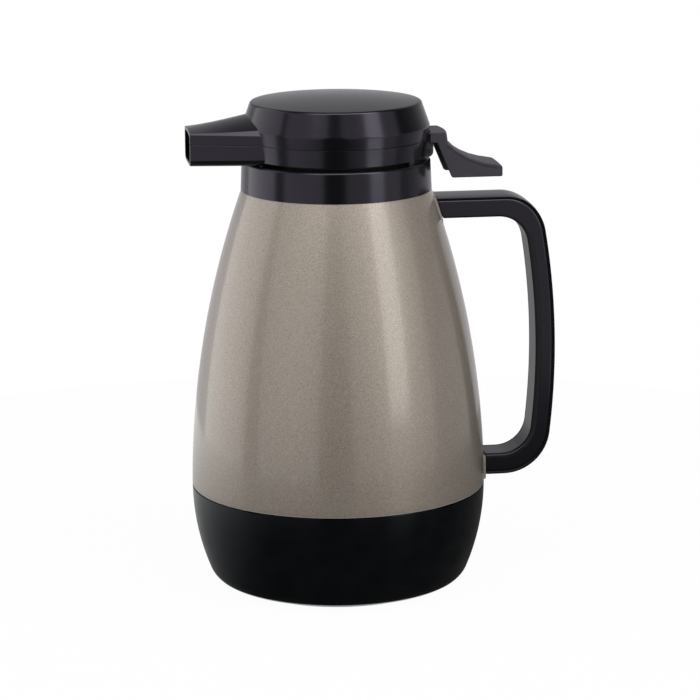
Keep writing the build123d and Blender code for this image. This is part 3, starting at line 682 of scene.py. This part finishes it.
def lid_outline(inset, low_z):
    """Half section of the lid without its spout, moved in by the inset, from a flat floor up."""
    rim_r, rim_z = lid_rim[0] - inset, lid_rim[1] - inset
    rise = lid_top_z - lid_rim[1]
    dome_r = (rim_r**2 + rise**2) / (2 * rise)
    spread = degrees(asin(rim_r / dome_r))
    dome = arc((0, lid_top_z - inset - dome_r), dome_r, 90 - spread, 90, 16)
    corners = [(0, low_z, 0), (lid_foot_r - inset, low_z, 0), (lid_seam_r - inset, lid_seam_z, 0)]
    corners += [(lid_wide[0] - inset, lid_wide[1], lid_wide_round), (rim_r, rim_z, lid_rim_round)]
    return rounded(corners + [(x, z, 0) for x, z in dome[1:]], 6)


def spout_ring(x, inset, bottom_z):
    """The spout's cross-section at x, all round: flat bottom, upright sides, bevels and arched roof."""
    share = (x - spout_tip_x) / (spout_root_x - spout_tip_x)
    half = spout_tip_half + share * spout_spread - inset
    sag = roof_hollow * 4 * max(share, 0) * (1 - share)
    crest = spout_crest_z + share * spout_crest_rise - inset - sag
    facet = facet_tip + share * facet_spread
    eave = (half - facet, spout_ridge_z - inset + facet * facet_steep - sag / 2)
    corner = spout_low_round - inset
    low = arc((half - corner, bottom_z + corner), corner, -90, 0, 6)
    rise = crest - eave[1]
    roof_r = (eave[0] ** 2 + rise**2) / (2 * rise)
    spread = degrees(asin(eave[0] / roof_r))
    roof = arc((0, crest - roof_r), roof_r, 90 - spread, 90 + spread, 16)
    right = low + [(half, spout_ridge_z - inset)]
    left = [(-y, z) for y, z in reversed(right)]
    return [(x, y, z) for y, z in right + roof + left]


def lofted(name, rings):
    """A closed body through a row of rings that all have the same number of points."""
    piece = begin(name)
    for number, ring in enumerate(rings):
        if number:
            bpy.ops.mesh.select_all(action="DESELECT")
            bpy.ops.mesh.primitive_plane_add(size=mm)
            bpy.ops.mesh.merge(type="CENTER")
        draw(ring + ring[:1], closed=True)
    bpy.ops.mesh.select_all(action="SELECT")
    bpy.ops.mesh.bridge_edge_loops()
    bpy.ops.mesh.select_all(action="SELECT")
    bpy.ops.mesh.fill_holes(sides=0)
    bpy.ops.mesh.select_all(action="SELECT")
    bpy.ops.mesh.normals_make_consistent(inside=False)
    bpy.ops.object.mode_set(mode="OBJECT")
    return piece


lid = turned("lid_whole", lid_outline(0, lid_foot_z))
spout_length = spout_root_x - spout_tip_x
stations = [spout_tip_x + share * spout_length for share in (0, 0.15, 0.3, 0.45, 0.6, 0.8, 1)]
floors = [spout_floor_z + spout_floor_rise * (x - spout_tip_x) / spout_length for x in stations]
spout = lofted("spout_form", [spout_ring(x, 0, floor_z) for x, floor_z in zip(stations, floors)])
choose(spout, lambda corners: all(corner.x < spout_tip_x + 0.01 for corner in corners))
bpy.ops.mesh.bevel(offset=mouth_round * mm, segments=3)
bpy.ops.object.mode_set(mode="OBJECT")
plug_room = [(0, 205), (plug_room_r, 205), (plug_room_r, lid_foot_z), (0, lid_foot_z)]
carve(spout, turned("plug_room", plug_room))
carve(lid, spout, "UNION")
carve(lid, turned("lid_hollow", lid_outline(lid_wall, lid_floor_z)))
channel_mouth = spout_ring(spout_tip_x - 0.5, spout_wall, channel_mouth_z)
channel_end = spout_ring(channel_end_x, spout_wall, lid_floor_z)
carve(lid, lofted("spout_channel", [channel_mouth, channel_end]))
opening = [(37.5, 217.3), (47.3, 217.3), (47.3, 225.6), (37.5, 225.6)]
carve(lid, slab("arm_opening", opening, -lug_slot_half, lug_slot_half))
lug_slot = [(37.5, 211.2), (47.3, 211.2), (47.3, 219.3), (37.5, 219.3)]
for side in (-1, 1):
    carve(lid, slab("lug_slot", lug_slot, side * bracket_half, side * lug_slot_half))


def seam_edge(corners):
    """Whether an edge lies on the seam on the outside of the lid or the spout."""
    for corner in corners:
        half = spout_tip_half + spout_spread * (corner.x - spout_tip_x) / spout_length
        on_spout = corner.x < spout_tip_x + 0.6 or abs(corner.y) > half - 0.6
        on_lid = corner.xy.length > lid_seam_r - 0.2
        if abs(corner.z - lid_seam_z) > 0.01 or not (on_lid or on_spout):
            return False
    return True


lids = {}
cut_away = (("lid_cover_domed", 200, lid_seam_z), ("lid_base_moulded", lid_seam_z, 250))
for name, low_z, high_z in cut_away:
    bpy.ops.object.select_all(action="DESELECT")
    lid.select_set(True)
    bpy.context.view_layer.objects.active = lid
    bpy.ops.object.duplicate()
    half_lid = bpy.context.object
    half_lid.name = name
    other_half = [(-90, low_z), (60, low_z), (60, high_z), (-90, high_z)]
    carve(half_lid, slab("other_half", other_half, -60, 60))
    choose(half_lid, seam_edge)
    bpy.ops.mesh.bevel(offset=seam_round * mm, segments=2)
    bpy.ops.object.mode_set(mode="OBJECT")
    lids[name] = half_lid
bpy.data.objects.remove(lid)
lid_base = lids["lid_base_moulded"]
bracket = [(39.5, 217.7), (39.5, 211.7)] + arc((pin_x, pin_z), bracket_r, -90, 90, 14)
carve(lid_base, slab("pin_bracket", bracket, -bracket_half, bracket_half), "UNION")
carve(lid_base, slab("pin_hole", arc((pin_x, pin_z), pin_hole_r, 0, 345, 23), -13, 13))
carve(lid_base, turned("outlet", [(0, 210), (outlet_r, 210), (outlet_r, 217), (0, 217)]))
for piece, node in ((lid_base, "lid_base"), (lids["lid_cover_domed"], "lid_cover")):
    settle_normals(piece, 16)
    fit(piece, node, "stopper", satin_black)

# ---- Lever ----
# The thumb piece behind the lid: a hollow moulding with a raised hump, a sloping plate and a
# deep lip at its tip, bowed round the lid. Its two lugs swing on the pin; its arm enters the lid.
lever_half = 12.2
lever_wall = 1.6
lever_side_round = 0.5
lever_bow_r = 52.7
hump_x = 53.5
hump_top_z = 224.0
hump_foot_z = 218.9
lever_root_x = 45.6
lever_root_z = 219.0
lever_tip_x = 80.2
lever_lip_z = 201.8
plate_start_x = 53.3
plate_length = 24.2
plate_fall = 11.0
plate_sag = 2.4
seam_start = (52.6, 217.5)
seam_width = 0.35
seam_depth = 0.45
lug_r = 2.8
lug_inner = 7.8
lug_outer = 9.8
arm_half = 5.0
stem_slot_half = 2.8
pin_bore_r = 1.6


def plate_line(start_x, start_z, shares):
    """Points along the hollow slope of the thumb plate."""
    points = []
    for share in shares:
        sag = plate_sag * 4 * share * (1 - share)
        points.append((start_x + share * plate_length, start_z - share * plate_fall - sag))
    return points


def lever_outline(shift, edge):
    """Side view of the thumb piece, moved in and down by the shift, with rounded corners."""
    slope = plate_line(plate_start_x, hump_foot_z, (0.2, 0.4, 0.6, 0.8))
    corners = [(lever_root_x, lever_root_z, 0), (lever_root_x, hump_top_z, 0)]
    corners += [(hump_x, hump_top_z, 1.1 * edge), (54.2, hump_foot_z, 2.0 * edge)]
    corners += [(x, z, 0) for x, z in slope]
    corners += [(lever_tip_x, 207.2, 1.6 * edge), (lever_tip_x, lever_lip_z, 0.8 * edge)]
    corners += [(56.2, lever_lip_z, 1.5 * edge), (49.1, lever_root_z, 0)]
    return [(x - shift, z - shift) for x, z in rounded(corners)]


def bowed_slab(name, outline, half):
    """A plate whose hump follows a circle about the lid, while its tip is straighter."""
    piece = slab(name, outline, -half, half)
    rows = [number / 5 * half for number in range(-5, 6)]
    bpy.ops.object.mode_set(mode="EDIT")
    for row in rows[1:-1]:
        bpy.ops.mesh.select_all(action="SELECT")
        bpy.ops.mesh.bisect(plane_co=(0, row * mm, 0), plane_no=(0, 1, 0))
    for row in rows:
        set_back = sqrt(lever_bow_r**2 - row**2) - lever_bow_r
        hinge_x = hump_x + set_back
        choose(piece, lambda corners: abs(corners[0].y - row) < 0.01, "vertices")
        bpy.ops.transform.translate(value=(set_back * mm, 0, 0))
        choose(piece, lambda corners: abs(corners[0].y - row) < 0.01
               and corners[0].x > hinge_x, "vertices")
        stretch = 1 - 0.8 * set_back / (lever_tip_x - hump_x)
        bpy.ops.transform.resize(value=(stretch, 1, 1), center_override=(hinge_x * mm, 0, 0))
    bpy.ops.object.mode_set(mode="OBJECT")
    return piece


lever = bowed_slab("lever_thumb_piece", lever_outline(0, 1), lever_half)
choose(lever, lambda corners: all(abs(corner.y) > lever_half - 0.01 for corner in corners))
bpy.ops.mesh.bevel(offset=lever_side_round * mm, segments=3)
bpy.ops.object.mode_set(mode="OBJECT")

carve(lever, bowed_slab("lever_hollow", lever_outline(lever_wall, 0), lever_half - lever_wall))
seam_points = plate_line(*seam_start, (0, 0.2, 0.4, 0.6, 0.8, 1))
seam_band = seam_points + [(x - 0.15, z - seam_width) for x, z in reversed(seam_points)]
for side in (-1, 1):
    seam_sides = [side * (lever_half - seam_depth), side * (lever_half + 1)]
    carve(lever, slab("lever_seam_tool", seam_band, *seam_sides))
bridge = [(40.6, 220.8), (51.5, 220.8), (51.5, 223.2), (40.6, 223.2)]
carve(lever, slab("lever_bridge", bridge, -lug_outer, lug_outer), "UNION")
lug = [(46.2, 221.6), (40.6, 221.6)] + arc((pin_x, pin_z), lug_r, 180, 360, 16)
arm = arc((0, 220.1), 1.5, 90, 270, 8) + [(3.0, 218.6), (3.0, 219.3), (50.7, 219.3)]
arm += [(50.7, 221.6), (6.7, 221.6), (6.7, 220.8), (0.7, 220.8)]
lugs = slab("lever_lugs", lug, lug_inner, lug_outer)
carve(lugs, slab("lever_lug_far", lug, -lug_outer, -lug_inner), "UNION")
carve(lugs, slab("lever_arm", arm, -arm_half, arm_half), "UNION")
stem_slot = [(-6.5, 218), (6.5, 218), (6.5, 225), (-6.5, 225)]
carve(lugs, slab("stem_slot", stem_slot, -stem_slot_half, stem_slot_half))
carve(lugs, slab("pin_bore", arc((pin_x, pin_z), pin_bore_r, 0, 345, 23), -11, 11))
carve(lever, lugs, "UNION")
settle_normals(lever, 28)
matt = Finish("matt_black_plastic")
matt_black = matt.surface({
    "Base Color": matt.blend(matt.noise(150.0), (0.034, 0.031, 0.038, 1), (0.044, 0.041, 0.049, 1)),
    "Roughness": matt.noise(400.0) * 0.08 + 0.36, "Normal": matt.bump(matt.noise(2500.0), 0.000008),
    "Specular Tint": (0.92, 0.86, 1.0, 1),
})
fit(lever, "lever", "lever", matt_black)

dark = Finish("blackened_steel")
blackened_steel = dark.surface({
    "Base Color": dark.blend(dark.noise(900.0), (0.03, 0.03, 0.032, 1), (0.05, 0.05, 0.052, 1)),
    "Metallic": 0.8, "Roughness": dark.noise(1500.0) * 0.1 + 0.35,
    "Normal": dark.bump(dark.noise(2500.0), 0.00001),
})
dress("lever_pin", blackened_steel)

# ---- Table, lamps and camera ----
# The carafe stands on a small white table in a white room. Soft boxes left and right of the
# camera leave a dark gap between them. Mirrored in the carafe, the table is as dark as a
# black card, and white only under the foot and behind on the left.
table_r = 0.45
table_below_foot = 0.0004
foot_shadow_r = 0.057
camera_side = -97.75
lamp_aim = Vector((0, 0, 0.12))


def rays(finish, kind):
    """1 where a ray of this kind meets the surface, else 0."""
    return finish.add("ShaderNodeLightPath", output=kind)


room = Finish("room", bpy.data.worlds.new("room"))
bpy.context.scene.world = room.block
room_seen = rays(room, "Is Camera Ray").at_least(rays(room, "Is Transmission Ray"))
room_mirrored = rays(room, "Is Glossy Ray")
towards = room.add("ShaderNodeTexCoord", output="Generated")
level_height = room.part(towards, "Z").at_most(0.2).at_least(-0.08)
backdrop = (room.part(towards, "Y") * 0.32 + 0.2 - level_height * 0.8).at_least(0.03)
room_light = room.add("ShaderNodeBackground", None, {
    "Color": room.blend(room_mirrored, (1, 1, 1, 1), (1.0, 0.975, 1.025, 1)),
    "Strength": room_seen.at_least((1 - room_mirrored) * 0.3 + room_mirrored * backdrop),
})
room.add("ShaderNodeOutputWorld", None, {0: room_light})

table = Finish("white_table")
table_seen = rays(table, "Is Camera Ray")
table_shown = table_seen.at_least(rays(table, "Is Transmission Ray")) * 0.97
table_grain = table_seen * 0.9 + table.noise(40.0) * 0.1
table_coat = table.add("ShaderNodeBsdfPrincipled", None, {
    "Base Color": table.blend(table_grain, (0.015, 0.015, 0.015, 1), (0.85, 0.85, 0.85, 1)),
    "Roughness": 0.3, "Specular IOR Level": 0.05,
})
table_glow = table.add("ShaderNodeEmission", None, {"Color": (1, 1, 1, 1), "Strength": 1.0})
from_axis = table.add("ShaderNodeVectorMath", {"operation": "LENGTH"}, {0: table.place()}, output="Value")
under_foot = 1 - from_axis.over(foot_shadow_r)
behind_left = table.part(table.place(), "Y") * 1.8 - table.part(table.place(), "X") * 1.5
white_gloss = behind_left.at_least(0.01).at_least(under_foot * 0.9)
table_share = table_shown.at_least(rays(table, "Is Glossy Ray") * white_gloss)
table_mix = table.add("ShaderNodeMixShader", None, {0: table_share, 1: table_coat, 2: table_glow})
table.add("ShaderNodeOutputMaterial", None, {0: table_mix})
bpy.ops.object.select_all(action="DESELECT")
table_place = (0, 0, -table_below_foot)
bpy.ops.mesh.primitive_circle_add(vertices=96, radius=table_r, fill_type="NGON", location=table_place)
floor = bpy.context.object
floor.name = "table_top"
floor.data.materials.append(table.block)


def soft_box(name, turn, distance, height, width, tall, power):
    """A rectangular area lamp; its turn about the carafe is in degrees, to the right of the camera."""
    lamp = bpy.data.lights.new(name, "AREA")
    lamp.shape = "RECTANGLE"
    lamp.size = width
    lamp.size_y = tall
    lamp.energy = power
    stand = bpy.data.objects.new(name, lamp)
    bpy.context.collection.objects.link(stand)
    stand.visible_camera = False
    direction = radians(turn + camera_side)
    stand.location = (distance * cos(direction), distance * sin(direction), height)
    stand.rotation_euler = (lamp_aim - stand.location).to_track_quat("-Z", "Y").to_euler()


soft_box("soft_box_left", -39.5, 1.3, 0.44, 1.3, 1.7, 4.4)
soft_box("soft_box_far_left", -104, 1.2, 0.44, 1.3, 1.7, 6.2)
soft_box("soft_box_right", 47, 1.35, 0.44, 2.05, 1.7, 5.0)
soft_box("strip_box_right", 50, 1.2, 0.64, 0.44, 1.3, 3.2)
soft_box("low_strip_box", 50, 1.2, -0.33, 0.44, 0.3, 0.8)
soft_box("soft_box_top", 12, 0.8, 1.5, 2.2, 1.0, 19.0)

camera_body = bpy.data.cameras.new("camera")
camera_body.lens = 161.733
camera_body.sensor_width = 36
camera_body.clip_end = 50
camera = bpy.data.objects.new("camera", camera_body)
bpy.context.collection.objects.link(camera)
camera.location = (-0.203402, -1.493854, 0.453271)
camera.rotation_euler = Euler((radians(77.38117), radians(0.35521), radians(-8.06943)))
bpy.context.scene.camera = camera
bpy.context.scene.view_settings.view_transform = "Standard"
